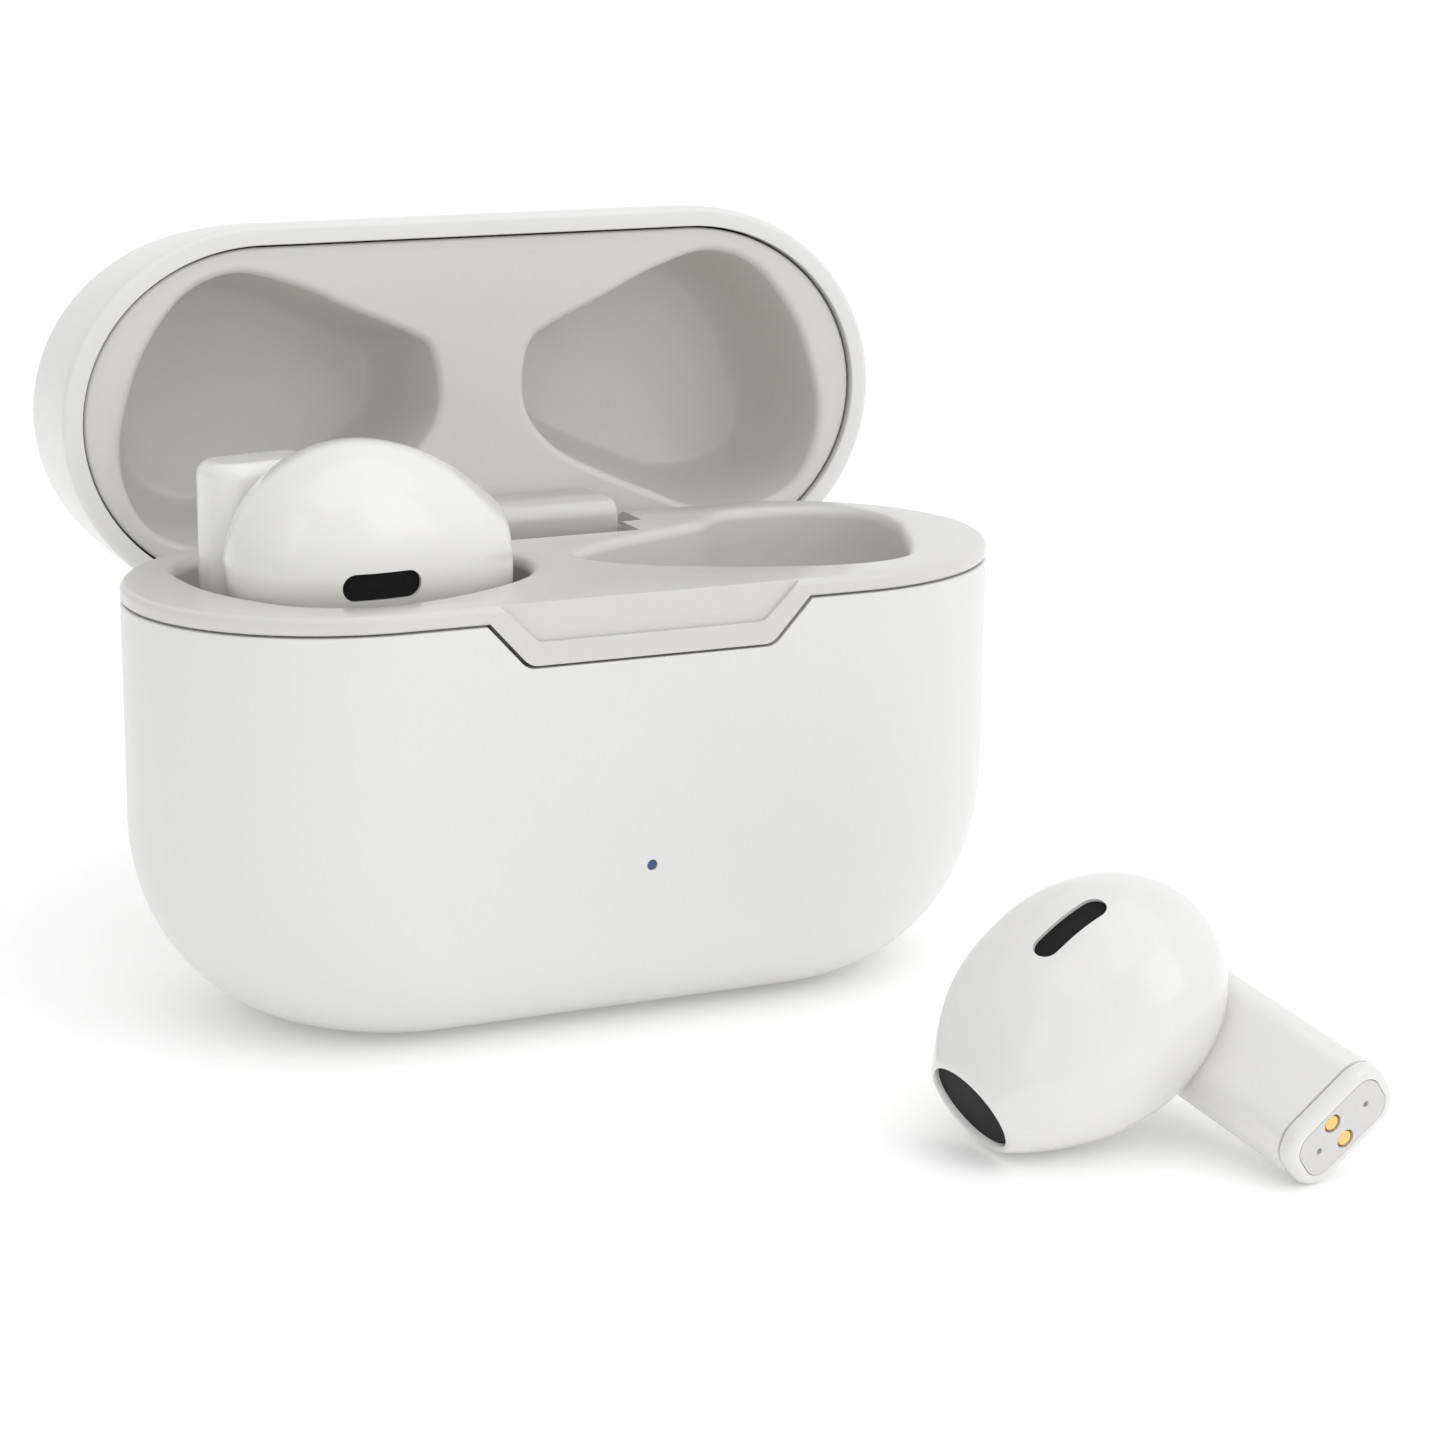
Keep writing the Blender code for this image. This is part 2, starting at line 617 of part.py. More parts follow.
def nozzle_disc(name, shrink, start, end):
    """An elliptical plug in the mouth of the nozzle."""
    size = (NOZZLE_R[0] - shrink, NOZZLE_R[1] - shrink)
    return loft(name, [egg(x, *size, *NOZZLE_SHIFT, NOZZLE_LEAN, 28) for x in (start, end)])


def slot_prism(name, grow, front, back):
    """The slot-shaped opening in the side of the head."""
    ring = rounded(SLOT_SIZE[0] / 2 + grow, SLOT_SIZE[1] / 2 + grow, SLOT_SIZE[1] / 2 + grow)
    return loft(name, [[(x + SLOT_AT[0], y, z + SLOT_AT[1]) for x, z in ring] for y in (front, back)])


def stem_ring(shrink):
    corner = max(STEM_CORNER - shrink, 0.3)
    return moved(rounded(STEM_HALF[0] - shrink, STEM_HALF[1] - shrink, corner, 5), *STEM_AT)


def make_earbud(side, parent, tag):
    """side is 1 for the left earbud and -1 for the right one, its mirror image."""

    def put(name, mesh, mat=None, smooth=True):
        if side < 0:
            mesh.transform(Matrix.Diagonal((-1, 1, 1, 1)))
            mesh.flip_normals()
        return add(f"{tag}_{name}", mesh, mat, parent, smooth=smooth)

    head = put("head_shell", loft("head", head_rings(0.0)), WHITE)
    cut(
        head,
        put("head_room", loft("room", head_rings(HEAD_WALL, 20, 5))),
        put("nozzle_hole", nozzle_disc("hole", 0.3, NOZZLE_X - 3.0, NOZZLE_X + 2)),
        put("slot_hole", slot_prism("slot", 0.0, -12, -3)),
    )
    stem_levels = [(stem_ring(0.0), STEM_END + CAP_H + FINE), (stem_ring(0.0), STEM_TOP - 0.7)]
    stem_levels += [(stem_ring(0.1), STEM_TOP - 0.3), (stem_ring(0.35), STEM_TOP)]
    stem = put("stem_shell", stack("stem", stem_levels), WHITE)
    cut(
        stem,
        put("stem_head_room", loft("offset", head_rings(-FINE, 27, 9))),
        put("stem_room", prism("stem_room", stem_ring(0.9), STEM_END - 1, -9.5)),
    )
    cap_levels = [(stem_ring(0.45), STEM_END), (stem_ring(0.2), STEM_END + 0.1), (stem_ring(0.05), STEM_END + 0.3)]
    cap_levels += [(stem_ring(0.0), STEM_END + 0.5), (stem_ring(0.0), STEM_END + CAP_H)]
    cap = put("end_cap", stack("cap", cap_levels), WHITE)
    cut(cap, put("cap_recess", prism("recess", stem_ring(0.7), STEM_END - 1, STEM_END + 0.65)))
    plate = put("contact_plate", prism("plate", stem_ring(0.85), STEM_END + 0.06, STEM_END + 0.5), PALE)
    for k, at in ((-1, "front"), (1, "back")):
        x, y = contact_spot(k)
        hole = rod("contact_hole", CONTACT_R + 0.12, (x, y, STEM_END - 1), (x, y, STEM_END + 3), 24)
        cut(plate, put(f"contact_hole_{at}", hole))
        past = rod("contact_way", CONTACT_R + 0.12, (x, y, STEM_END), (x, y, STEM_END + 3), 24)
        cut(cap, put(f"contact_way_{at}", past))
        pin = rod("contact", CONTACT_R, (x, y, STEM_END + 0.12), (x, y, STEM_END + 1.3), 24)
        put(f"contact_{at}", pin, GOLD)
        x = STEM_AT[0] + k * 1.95
        tiny = rod("vent", 0.22, (x, STEM_AT[1], STEM_END - 1), (x, STEM_AT[1], STEM_END + 2), 12)
        cut(plate, put(f"plate_vent_{at}", tiny))
    put("nozzle_mesh", nozzle_disc("mesh", 0.42, NOZZLE_X - 0.7, NOZZLE_X - 0.4), MESH)
    put("vent_mesh", slot_prism("vent_mesh", -0.12, -HEAD_Y + 0.35, -HEAD_Y + 0.75), MESH)
    put("speaker_driver", rod("driver", 3.4, (3.2, -0.5, -0.4), (5.4, -0.6, -0.5), 36), CHROME)
    put("cell", rod("cell", 3.5, (-5.2, -0.2, 0), (0.6, -0.2, 0), 36), FOIL)
    put("circuit_board", box("board", (1.1, -3.4, -3.6), (1.7, 3.2, 3.6)), BOARD, smooth=False)


# ---------------------------------------------------------------- build

WHITE = ((0.86, 0.86, 0.84), 0.35)
GREY = ((0.62, 0.62, 0.59), 0.4)
PALE = ((0.7, 0.7, 0.68), 0.5)
BLACK = ((0.02, 0.02, 0.02), 0.5)
MESH = ((0.015, 0.015, 0.015), 0.6)
STEEL = ((0.6, 0.6, 0.6), 0.35, 1.0)
CHROME = ((0.75, 0.75, 0.76), 0.2, 1.0)
GOLD = ((0.9, 0.68, 0.3), 0.25, 1.0)
FOIL = ((0.45, 0.46, 0.48), 0.4, 0.6)
BOARD = ((0.02, 0.18, 0.08), 0.5)
YELLOW = ((0.8, 0.7, 0.2), 0.4)
CLEAR = ((0.25, 0.5, 0.9), 0.2)

clear()
PARTS = new_collection("wireless_earbuds_case")
CUTTERS = new_collection("cutters")
CUTTERS.hide_render = True

LID = empty("lid_pivot", (0, HINGE_Y, HINGE_Z), (math.radians(-OPEN_ANGLE), 0, 0))
make_shell()
make_frame()
make_hinge()
make_inside()
make_lid()

docked = empty("left_earbud", DOCKED_AT, (0, 0, math.radians(DOCKED_TURN)))
make_earbud(1, docked, "left")

axis_x = Vector(LOOSE_X).normalized()
axis_y = (Vector(LOOSE_Y) - axis_x * axis_x.dot(Vector(LOOSE_Y))).normalized()
axis_z = axis_x.cross(axis_y)
pose = Matrix((axis_x, axis_y, axis_z)).transposed()
loose = empty("right_earbud", LOOSE_AT, pose.to_euler())
make_earbud(-1, loose, "right")
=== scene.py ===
"""The look of the wireless earbuds case: fine versions of the pieces that show, materials,
light and camera. Sizes are in millimetres, with the front towards -Y. The pieces follow the
bodies of the CAD frame. Everything on the lid is drawn with the lid closed, and everything on
an earbud is drawn as the left one."""

import math

import bmesh
import bpy
import numpy as np
from mathutils import Matrix, Vector
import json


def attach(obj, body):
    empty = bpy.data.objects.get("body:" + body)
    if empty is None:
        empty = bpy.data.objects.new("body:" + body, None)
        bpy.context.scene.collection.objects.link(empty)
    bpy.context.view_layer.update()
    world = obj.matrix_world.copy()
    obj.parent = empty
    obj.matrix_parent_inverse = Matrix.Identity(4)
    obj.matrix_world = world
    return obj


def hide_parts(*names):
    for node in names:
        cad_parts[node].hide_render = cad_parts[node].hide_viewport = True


MM = 0.001
PI = math.pi
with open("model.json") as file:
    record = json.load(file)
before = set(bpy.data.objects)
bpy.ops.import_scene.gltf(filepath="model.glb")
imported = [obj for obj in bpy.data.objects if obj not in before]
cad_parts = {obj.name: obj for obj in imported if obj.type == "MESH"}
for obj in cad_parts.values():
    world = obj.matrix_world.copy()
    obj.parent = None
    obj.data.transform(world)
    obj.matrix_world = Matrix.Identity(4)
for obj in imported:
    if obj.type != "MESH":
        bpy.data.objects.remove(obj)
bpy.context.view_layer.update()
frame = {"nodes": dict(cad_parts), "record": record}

# ---------------------------------------------------------------- sizes shared with the CAD

HALF_W, HALF_D, END_SHAPE = 30.0, 13.24, 1.083  # END_SHAPE: how long the round ends are, in half depths
SEAM_Z, FRAME_TOP = 28.3, 29.4
SIDE_ROUND, FRONT_ROUND = (12.0, 13.8), (7.6, 6.6)  # how far in and how high each rounding goes
WALL, SHELL_EDGE, SEAM_GAP = 1.5, 0.14, 0.16
OUTSIDE = 15  # a plane clear of the front or, behind, of the back
HINGE_Y, HINGE_Z, OPEN_ANGLE = 11.2, 26.0, 92.0
HINGE_ROOM, ARM_ROOM = (9.3, 9), (7.8, 5.8)  # half width and front of the cuts behind the sockets
ARM_HALF, PIN_BORE, SWING_R = 7.5, 0.95, 3.55
LID_Z, LID_TOP, LID_HEIGHT, LID_EDGE = 29.65, 44.6, 15, 0.45
LID_SIDE_ROUND, LID_FRONT_ROUND = (15.0, 6.3), (3.9, 14.9)
LINER_HALF, LINER_Z, LINER_EDGE, LID_WALL = (28.5, 11.72), 30.05, 0.25, 1.35
NOTCH_MID, NOTCH_TOP, NOTCH_FOOT, NOTCH_FLOOR, NOTCH_FLARE = 0.7, 10.68, 8.5, 25.22, 0.9
TAB_PLAY = 0.18
DISH_TOP, DISH_FOOT, DISH_FLOOR = 10.3, 7.75, 26.9
LED_AT, LED_R = (0.7, 11.5), 0.36
PORT_HALF, PORT_CORNER, PORT_Y = (4.85, 1.95), 1.9, 3.4
BUTTON_Z, BUTTON_R = 14, 2.5

# The sockets are not mirror images. Each outline is a smooth closed curve through its points.
LEFT_SOCKET = (
    (-25.2, 5.5), (-25.3, 2.0), (-24.4, -2.2), (-22.0, -6.6), (-19.6, -8.7), (-16.3, -9.7),
    (-12.8, -9.2), (-8.8, -7.6), (-5.4, -5.3), (-3.8, -3.1), (-3.3, -0.4), (-4.0, 2.3),
    (-6.8, 4.6), (-10.3, 6.0), (-13.0, 7.3), (-15.6, 9.3), (-19.4, 9.5), (-23.2, 8.1),
)
RIGHT_SOCKET = (
    (25.2, 5.5), (25.3, 2.0), (24.4, -1.2), (22.1, -6.6), (20.0, -8.7), (16.4, -9.2), (11.8, -8.2),
    (7.0, -6.2), (3.5, -4.2), (1.4, -2.0), (0.8, 0.3), (3.0, 2.2), (6.9, 4.2), (10.3, 5.6),
    (13.0, 6.9), (15.6, 9.3), (19.4, 9.5), (23.2, 8.1),
)
LID_HOLLOW = (
    (17.4, -10.0), (13.2, -8.9), (9.3, -7.1), (5.5, -5.4), (3.8, -4.2), (3.2, -1.6), (3.6, 1.0),
    (5.6, 3.4), (9.0, 5.3), (12.4, 6.8), (16.4, 8.4), (20.4, 8.6), (23.8, 7.3), (25.5, 4.8),
    (26.0, 1.6), (25.2, -2.2), (23.7, -5.6), (21.0, -8.8),
)

# Levels of the sockets and of the lid's hollows: height, and size against the outline.
SOCKET_ROUND, SOCKET_WALL = 0.8, ((19.8, 0.93), (22.0, 1.06), (25.5, 1.09), (28.8, 1.09))
SOCKET_ROOM = (
    (27.0, 0.996), (25.5, 0.988), (24.0, 0.972), (22.8, 0.95), (21.9, 0.91), (21.3, 0.85), (21.0, 0.76),
)
HOLLOW_ROUND = 0.6
HOLLOW_WALL = ((30.3, 1.075), (34.0, 1.05), (38.2, 0.99), (40.2, 0.93), (41.4, 0.82))
HOLLOW_ROOM = (
    (32.5, 0.985), (34.5, 0.967), (36.5, 0.94), (38.0, 0.905), (39.2, 0.855), (39.9, 0.8), (40.2, 0.74),
)

# The well for a stem under each socket: height, and how much wider than WELL_HALF.
WELL_HALF, WELL_CORNER, WELL_WALL, WELL_FOOT = (4.5, 3.0), 1.6, 0.9, 13.0
WELL_LEVELS = ((14.2, 0.0), (20.2, 0.0), (21.0, 0.25), (21.6, 0.9), (22.5, 0.9))
PIN_HOLE_R = 0.8

# An earbud's own axes: X from the head's back to the nozzle, Z up the stem.
HEAD_BACK, HEAD_Y, HEAD_Z, NOZZLE_X = 8.8, 6.7, 7.9, 10.0
NOZZLE_R, NOZZLE_SHIFT, NOZZLE_POWER = (2.6, 3.65), (-1.9, -0.9), 2.2
NOZZLE_LEAN = math.tan(math.radians(15.0))
STEM_AT, STEM_HALF, STEM_CORNER = (-4.1, 5.4), (3.95, 2.4), 1.9
STEM_TOP, STEM_END, CAP_H = 6.3, -15.5, 1.0
SLOT_MID, SLOT_SIZE = (-1.4, -0.4), (5.2, 1.75)
CONTACT_X, CONTACT_Y, CONTACT_SLANT, CONTACT_R = 0.3, 0.9, 0.1, 0.5
PLATE_HOLE_X, PLATE_HOLE_R = 1.95, 0.2
DOCKED_AT, DOCKED_TURN = (-15.1, -1.0, 30.45), 10.0
LOOSE_AT = (18.705, -37.87, 7.71)
LOOSE_X, LOOSE_Y = (0.7862, 0.02, 0.6177), (0.5972, 0.2322, -0.7677)


# ---------------------------------------------------------------- materials


class Nodes:
    """A material's node tree with short calls to grow it."""

    def __init__(self, name):
        self.mat = bpy.data.materials.new(name)
        self.mat.use_nodes = True
        self.tree = self.mat.node_tree
        self.shader = self.tree.nodes["Principled BSDF"]

    def set(self, **values):
        for key, value in values.items():
            self.shader.inputs[key.replace("_", " ")].default_value = value

    def new(self, kind, **values):
        node = self.tree.nodes.new(kind)
        for key, value in values.items():
            if hasattr(node, key):
                setattr(node, key, value)
            else:
                node.inputs[key.replace("_", " ")].default_value = value
        return node

    def link(self, out, into):
        self.tree.links.new(out, into)

    def noise(self, scale, detail=3.0, rough=0.5):
        place = self.new("ShaderNodeTexCoord")
        noise = self.new("ShaderNodeTexNoise", Scale=scale, Detail=detail, Roughness=rough)
        self.link(place.outputs["Object"], noise.inputs["Vector"])
        return noise.outputs["Fac"]

    def spread(self, fac, low, high):
        """The middle of a noise's range carried onto low..high."""
        node = self.new("ShaderNodeMapRange")
        for key, value in (("From Min", 0.3), ("From Max", 0.7), ("To Min", low), ("To Max", high)):
            node.inputs[key].default_value = value
        self.link(fac, node.inputs["Value"])
        return node.outputs["Result"]

    def bump(self, height, depth, strength):
        node = self.new("ShaderNodeBump")
        node.inputs["Distance"].default_value = depth
        node.inputs["Strength"].default_value = strength
        self.link(height, node.inputs["Height"])
        self.link(node.outputs["Normal"], self.shader.inputs["Normal"])

    def tint(self, fac, dark, light):
        mix = self.new("ShaderNodeMix", data_type="RGBA")
        mix.inputs["A"].default_value = (*dark, 1.0)
        mix.inputs["B"].default_value = (*light, 1.0)
        self.link(fac, mix.inputs["Factor"])
        self.link(mix.outputs["Result"], self.shader.inputs["Base Color"])


def moulded(name, colour, rough, grain, coat=0.0, swing=0.04):
    """Injection-moulded plastic: a fine grain, a slow drift in gloss and faint handling marks."""
    n = Nodes(name)
    n.set(Metallic=0.0, IOR=1.5, Coat_Weight=coat, Coat_Roughness=0.12)
    drift = n.noise(scale=55.0, detail=4.0)
    fine = n.noise(scale=4200.0, detail=2.0)
    marks = n.noise(scale=900.0, detail=6.0, rough=0.7)
    n.tint(n.spread(drift, 0.0, 1.0), tuple(c * 0.985 for c in colour), colour)
    wear = n.new("ShaderNodeMath", operation="ADD")
    n.link(n.spread(drift, rough - swing, rough + swing), wear.inputs[0])
    n.link(n.spread(marks, -0.015, 0.03), wear.inputs[1])
    n.link(wear.outputs["Value"], n.shader.inputs["Roughness"])
    n.bump(fine, 0.01 * MM, grain)
    return n.mat


def metal(name, colour, rough, scale=300.0):
    """Plain or, with a finer scale, brushed metal."""
    n = Nodes(name)
    n.set(Metallic=1.0)
    fac = n.noise(scale, 5.0)
    n.tint(n.spread(fac, 0.0, 1.0), tuple(c * 0.88 for c in colour), colour)
    n.link(n.spread(fac, rough * 0.75, rough * 1.35), n.shader.inputs["Roughness"])
    n.bump(n.noise(2600.0), 0.006 * MM, 0.35)
    return n.mat


def woven(name, pitch):
    """Fine black acoustic mesh: two crossed sets of threads."""
    n = Nodes(name)
    place = n.new("ShaderNodeTexCoord")
    waves = []
    for turn in (0.6, 0.6 + PI / 2):
        spin = n.new("ShaderNodeMapping")
        spin.inputs["Rotation"].default_value = (0.4, turn, 0.3)
        wave = n.new("ShaderNodeTexWave", Scale=pitch)
        n.link(place.outputs["Object"], spin.inputs["Vector"])
        n.link(spin.outputs["Vector"], wave.inputs["Vector"])
        waves.append(wave.outputs["Fac"])
    both = n.new("ShaderNodeMath", operation="MULTIPLY")
    n.link(waves[0], both.inputs[0])
    n.link(waves[1], both.inputs[1])
    n.tint(both.outputs["Value"], (0.0015, 0.0015, 0.0016), (0.012, 0.012, 0.013))
    n.set(Roughness=0.62, Metallic=0.0, Specular_IOR_Level=0.25)
    n.bump(both.outputs["Value"], 0.06 * MM, 0.5)
    return n.mat


WHITE = moulded("white_gloss_plastic", (0.74, 0.737, 0.722), 0.37, 0.03, coat=0.35)
BUD_WHITE = moulded("bud_gloss_plastic", (0.765, 0.76, 0.742), 0.2, 0.025, coat=0.7, swing=0.03)
GREY = moulded("grey_satin_plastic", (0.635, 0.628, 0.606), 0.38, 0.1, coat=0.55)
PALE = moulded("pale_matte_plastic", (0.66, 0.655, 0.645), 0.5, 0.1)
BLACK = moulded("black_matte_plastic", (0.018, 0.018, 0.02), 0.5, 0.25)
BOARD = moulded("solder_mask", (0.012, 0.11, 0.05), 0.38, 0.3, coat=0.3)
LED = moulded("led_lens", (0.03, 0.09, 0.26), 0.2, 0.02, coat=0.5)
CHIP = moulded("led_chip", (0.72, 0.62, 0.2), 0.4, 0.1)
FOIL = metal("cell_foil", (0.5, 0.51, 0.53), 0.38)
STEEL = metal("brushed_steel", (0.6, 0.6, 0.6), 0.32, scale=1600.0)
BRIGHT = metal("bright_steel", (0.78, 0.78, 0.79), 0.16)
GOLD = metal("gold_plate", (0.93, 0.66, 0.24), 0.2)
MESH = woven("acoustic_mesh", 9000.0)

SLOTS = {
    "white_shell": WHITE, "grey_insert": GREY, "pale_plastic": PALE, "black_plastic": BLACK,
    "black_mesh": MESH, "steel": STEEL, "bright_steel": BRIGHT, "gold": GOLD,
    "foil": FOIL, "board": BOARD, "led": CHIP, "clear_lens": LED,
}


def dress_cad():
    """Gives every CAD node the full material of its slot."""
    for part in frame["record"]["subparts"]:
        node = frame["nodes"][part["node"]]
        node.data.materials.clear()
        node.data.materials.append(SLOTS[part["material_slot"]])


# ---------------------------------------------------------------- outlines


def quarter_turn(steps):
    """Angles from 0 to a right angle."""
    return [k / steps * PI / 2 for k in range(steps + 1)]


def stand_back(height, rounding):
    """How far a rounded wall stands back, at a height from the end where the rounding starts."""
    reach, tall = rounding
    return reach * (1 - math.sqrt(max(0, 1 - (1 - min(height / tall, 1)) ** 2)))


def obround(half_w, half_d, steps=30):
    """The case's outline: straight sides with rounded ends."""
    end = min(END_SHAPE * half_d, half_w)
    ring = []
    for quarter in range(4):
        sx = 1 if quarter in (0, 3) else -1
        for k in range(steps + 1):
            a = (quarter + k / steps) * PI / 2
            ring.append((sx * (half_w - end) + end * math.cos(a), half_d * math.sin(a)))
    return ring


def rounded(half_x, half_y, corner, steps=12):
    """A rectangle with round corners."""
    ring = []
    for quarter in range(4):
        sx = 1 if quarter in (0, 3) else -1
        sy = 1 if quarter in (0, 1) else -1
        for k in range(steps + 1):
            a = (quarter + k / steps) * PI / 2
            x = sx * (half_x - corner) + corner * math.cos(a)
            ring.append((x, sy * (half_y - corner) + corner * math.sin(a)))
    return ring


def smooth_ring(points, between=9):
    """A closed Catmull-Rom curve through the points."""
    pts = np.array(points, float)
    before, after, far = np.roll(pts, 1, 0), np.roll(pts, -1, 0), np.roll(pts, -2, 0)
    ring = []
    for p0, p1, p2, p3 in zip(before, pts, after, far):
        for k in range(between):
            t = k / between
            q = 2 * p1 + (p2 - p0) * t + (2 * p0 - 5 * p1 + 4 * p2 - p3) * t**2
            q = q + (3 * p1 - p0 - 3 * p2 + p3) * t**3
            ring.append(tuple(q / 2))
    return ring


def grow(ring, by):
    """The ring moved outwards along its own normals."""
    pts = np.array(ring, float)
    along = np.roll(pts, -1, 0) - np.roll(pts, 1, 0)
    normal = np.stack([along[:, 1], -along[:, 0]], 1)
    normal /= np.linalg.norm(normal, axis=1)[:, None]
    x, y = pts.T
    area = np.sum(x * np.roll(y, -1) - y * np.roll(x, -1))
    return [tuple(p) for p in pts + normal * by * (1 if area > 0 else -1)]


def scaled(ring, factor):
    mid = np.mean(np.array(ring), axis=0)
    return [tuple(mid + (np.array(p) - mid) * factor) for p in ring]


def moved(ring, dx, dy, turn=0.0):
    c, s = math.cos(turn), math.sin(turn)
    return [(c * x - s * y + dx, s * x + c * y + dy) for x, y in ring]


# ---------------------------------------------------------------- solids


def loft(name, rings):
    """A closed solid through rings of equally many points."""
    mesh = bpy.data.meshes.new(name)
    bm = bmesh.new()
    rows = [[bm.verts.new(Vector(p) * MM) for p in ring] for ring in rings]
    count = len(rows[0])
    for low, high in zip(rows, rows[1:]):
        for k in range(count):
            n = (k + 1) % count
            bm.faces.new((low[k], low[n], high[n], high[k]))
    bm.faces.new(rows[0])
    bm.faces.new(rows[-1])
    bmesh.ops.remove_doubles(bm, verts=bm.verts, dist=1e-7)
    bmesh.ops.recalc_face_normals(bm, faces=bm.faces)
    bm.to_mesh(mesh)
    bm.free()
    return mesh


def stack(name, levels):
    return loft(name, [[(x, y, z) for x, y in ring] for ring, z in levels])


def prism(ring, low, high):
    return stack("prism", [(ring, low), (ring, high)])


def box(low, high):
    ring = [(low[0], low[1]), (high[0], low[1]), (high[0], high[1]), (low[0], high[1])]
    return prism(ring, low[2], high[2])


def rod(radius, start, end, sides=48):
    mesh = bpy.data.meshes.new("rod")
    bm = bmesh.new()
    a, b = Vector(start) * MM, Vector(end) * MM
    turn = (b - a).to_track_quat("Z", "Y").to_matrix().to_4x4()
    place = Matrix.Translation((a + b) / 2) @ turn
    size = radius * MM
    bmesh.ops.create_cone(
        bm, cap_ends=True, segments=sides, radius1=size, radius2=size, depth=(b - a).length, matrix=place
    )
    bm.to_mesh(mesh)
    bm.free()
    return mesh


def boolean(mesh, steps):
    """The mesh after a run of ("DIFFERENCE", tool), ("UNION", tool) or ("INTERSECT", tool)."""
    base = bpy.data.objects.new("base", mesh)
    bpy.context.scene.collection.objects.link(base)
    tools = []
    for operation, tool in steps:
        obj = bpy.data.objects.new("tool", tool)
        bpy.context.scene.collection.objects.link(obj)
        tools.append(obj)
        mod = base.modifiers.new("cut", "BOOLEAN")
        mod.operation = operation
        mod.solver = "EXACT"
        mod.object = obj
    graph = bpy.context.evaluated_depsgraph_get()
    done = bpy.data.meshes.new_from_object(base.evaluated_get(graph))
    for obj in tools + [base]:
        bpy.data.objects.remove(obj)
    return done


def cut(mesh, *tools):
    return boolean(mesh, [("DIFFERENCE", t) for t in tools])


def show(name, mesh, mat, body, stands_for=(), soften=0.0, angle=35.0):
    """Puts a finished mesh in the scene, riding on a body and standing for its CAD nodes."""
    obj = bpy.data.objects.new(name, mesh)
    bpy.context.scene.collection.objects.link(obj)
    mesh.materials.clear()
    mesh.materials.append(mat)
    mesh.shade_smooth()
    mesh.set_sharp_from_angle(angle=math.radians(angle))
    if soften:
        mod = obj.modifiers.new("soften", "BEVEL")
        mod.width = soften * MM
        mod.segments = 3
        mod.limit_method = "ANGLE"
        mod.angle_limit = math.radians(angle)
        mod.harden_normals = True
        mod.use_clamp_overlap = True
    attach(obj, body)
    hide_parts(*stands_for)


# ---------------------------------------------------------------- lower case


def body_levels(inset, count=22):
    levels = []
    for a in quarter_turn(count):
        z = SIDE_ROUND[1] * (1 - math.cos(a))
        half_w = HALF_W - stand_back(z, SIDE_ROUND)
        half_d = HALF_D - stand_back(z, FRONT_ROUND)
        levels.append((obround(half_w - inset, half_d - inset), z * (1 - inset / SIDE_ROUND[1]) + inset))
    return levels


def trapezoid(top, foot, top_z, foot_z, front, back, corner):
    """The finger notch's outline with soft lower corners, carried from front to back."""
    top += NOTCH_FLARE
    slope = math.atan2(top_z - foot_z, top - foot)
    arc = []
    for k in range(7):
        a = k / 6 * slope
        x = foot - corner * math.tan(slope / 2) + corner * math.sin(a)
        arc.append((x, foot_z + corner * (1 - math.cos(a))))
    ring = [(-top, top_z)] + [(-x, z) for x, z in arc[::-1]] + arc + [(top, top_z)]
    return loft("trapezoid", [[(x + NOTCH_MID, y, z) for x, z in ring] for y in (front, back)])


def hinge_cut(room, low, back):
    """A box cut out for the hinge, from a height upwards."""
    half_w, front = room
    return box((-half_w, front, low), (half_w, back, 31))


def make_shell():
    top = SEAM_Z - SEAM_GAP - SHELL_EDGE
    levels = body_levels(0.0)
    for a in quarter_turn(4):
        inset = SHELL_EDGE * (1 - math.cos(a))
        levels.append((obround(HALF_W - inset, HALF_D - inset), top + SHELL_EDGE * math.sin(a)))
    hollow = body_levels(WALL, 10) + [(obround(HALF_W - WALL, HALF_D - WALL), SEAM_Z + 2)]
    led_x, led_z = LED_AT
    mesh = cut(
        stack("case_body", levels),
        stack("hollow", hollow),
        trapezoid(NOTCH_TOP, NOTCH_FOOT, SEAM_Z + 0.3, NOTCH_FLOOR, -OUTSIDE, -9.5, corner=1.3),
        hinge_cut(HINGE_ROOM, 22.6, OUTSIDE),
        prism(moved(rounded(*PORT_HALF, PORT_CORNER), 0, PORT_Y), -1, 3),
        rod(LED_R, (led_x, -OUTSIDE, led_z), (led_x, -10, led_z), 32),
        rod(BUTTON_R, (0, 10, BUTTON_Z), (0, OUTSIDE, BUTTON_Z)),
    )
    show("lower_shell", mesh, WHITE, "case", ["case_shell"], soften=0.1)


def rounded_mouth(ring, z, radius, up, steps):
    """Levels of an opening whose edge is rounded at height z; up says which way it opens."""
    levels = []
    for a in quarter_turn(steps):
        levels.append((grow(ring, radius * (1 - math.sin(a))), z - up * radius * (1 - math.cos(a))))
    return levels


def socket_levels(ring):
    levels = [(grow(ring, 1.0), FRAME_TOP + 0.6)]
    levels += rounded_mouth(ring, FRAME_TOP, SOCKET_ROUND, 1, 6)
    levels += [(scaled(ring, size), z) for z, size in SOCKET_ROOM]
    return levels[::-1]


def docked_point(side, x, y):
    """A point of an earbud seen from above, carried to where the earbud stands in its socket."""
    turn = math.radians(DOCKED_TURN) * -side
    c, s = math.cos(turn), math.sin(turn)
    x = -side * x
    return side * -DOCKED_AT[0] + c * x - s * y, DOCKED_AT[1] + s * x + c * y


